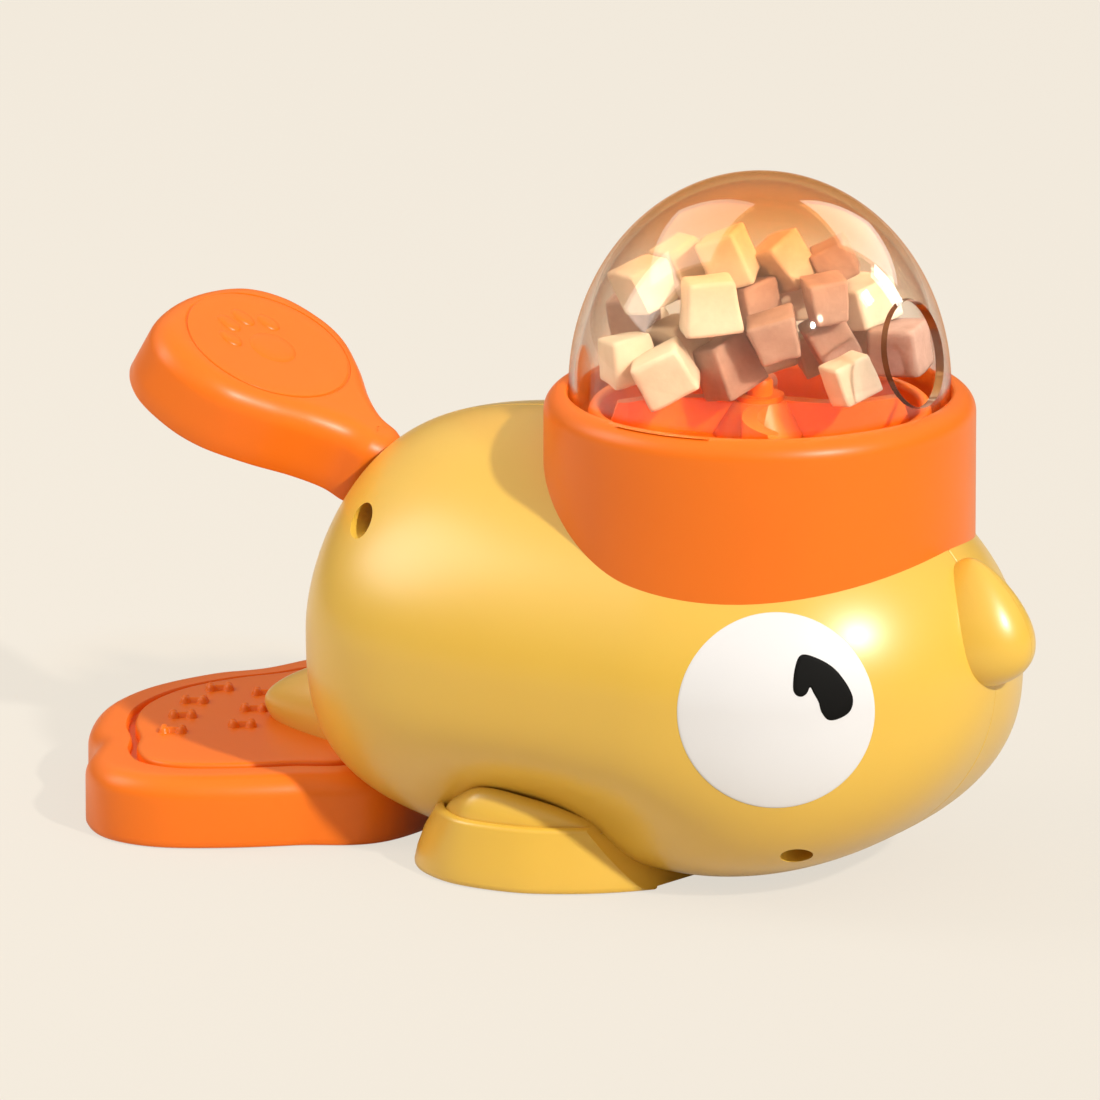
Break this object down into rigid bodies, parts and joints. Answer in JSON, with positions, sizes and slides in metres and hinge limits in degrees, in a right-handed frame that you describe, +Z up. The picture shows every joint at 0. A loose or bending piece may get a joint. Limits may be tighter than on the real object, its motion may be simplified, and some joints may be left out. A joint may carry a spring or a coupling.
{
  "type": "treat dispensing toy",
  "caption": "Duck-shaped treat dispenser for a dog: a sprung paddle at the rear turns a bladed rotor under a clear domed hopper with a round outlet, on a webbed foot.",
  "frame": {"origin": "on the floor, at the middle of the length and of the width", "axes": "+X towards the beak, +Y to the duck's left, +Z up"},
  "size_m": [0.2544, 0.13, 0.1705],
  "materials": {
    "yellow_plastic": "satin moulded",
    "orange_plastic": "satin moulded",
    "clear_plastic": "clear tinted, polished",
    "white_vinyl": "thin printed disc",
    "white_plastic": "moulded acetal",
    "grey_plastic": "moulded",
    "steel": "plated"
  },
  "bodies": {
    "base": {"body_shell_right": "yellow_plastic", "body_shell_left": "yellow_plastic", "eye_right": "white_vinyl", "eye_left": "white_vinyl", "case_screws": "steel", "pivot_pin": "steel", "wing_right": "yellow_plastic", "wing_left": "yellow_plastic", "wing_cap_right": "yellow_plastic", "wing_cap_left": "yellow_plastic", "foot": "orange_plastic", "foot_tread": "orange_plastic", "foot_bones": "orange_plastic", "foot_sole": "orange_plastic", "foot_screws": "steel", "collar": "orange_plastic", "bowl": "orange_plastic", "bowl_screws": "steel", "bowl_bush": "white_plastic", "chassis": "grey_plastic", "chassis_bush": "white_plastic", "chassis_screws": "steel", "return_spring": "steel"},
    "dome": {"dome": "clear_plastic"},
    "rotor": {"rotor": "orange_plastic", "rotor_knob": "orange_plastic", "rotor_shaft": "steel", "pinion": "white_plastic", "shaft_ring": "steel"},
    "rack": {"rack": "white_plastic"},
    "paddle": {"lever": "grey_plastic", "paddle": "orange_plastic", "paddle_panel": "orange_plastic", "paddle_base": "orange_plastic", "paddle_screws": "steel"}
  },
  "joints": [
    {"name": "paddle_press", "type": "hinge", "parent": "base", "child": "paddle", "pos_m": [-0.0352, 0, 0.082], "axis": [0, -1, 0], "range_deg": [0, 28], "stiffness_Nm_per_rad": 0.4, "springref_deg": -20.05, "deforming": ["return_spring"]},
    {"name": "rack_slide", "type": "slide", "parent": "base", "child": "rack", "axis": [1, 0, 0], "range_m": [0, 0.0098]},
    {"name": "rotor_spin", "type": "hinge", "parent": "base", "child": "rotor", "pos_m": [0.0532, 0, 0.1], "axis": [0, 0, 1], "range_deg": [0, 90]},
    {"name": "dome_twist", "type": "hinge", "parent": "base", "child": "dome", "pos_m": [0.0532, 0, 0.115], "axis": [0, 0, 1], "range_deg": [-44, 0]}
  ],
  "couplings": [
    {"joint": "rack_slide", "follows": "paddle_press", "m_per_rad": 0.02},
    {"joint": "rotor_spin", "follows": "paddle_press", "ratio": 3.2}
  ]
}
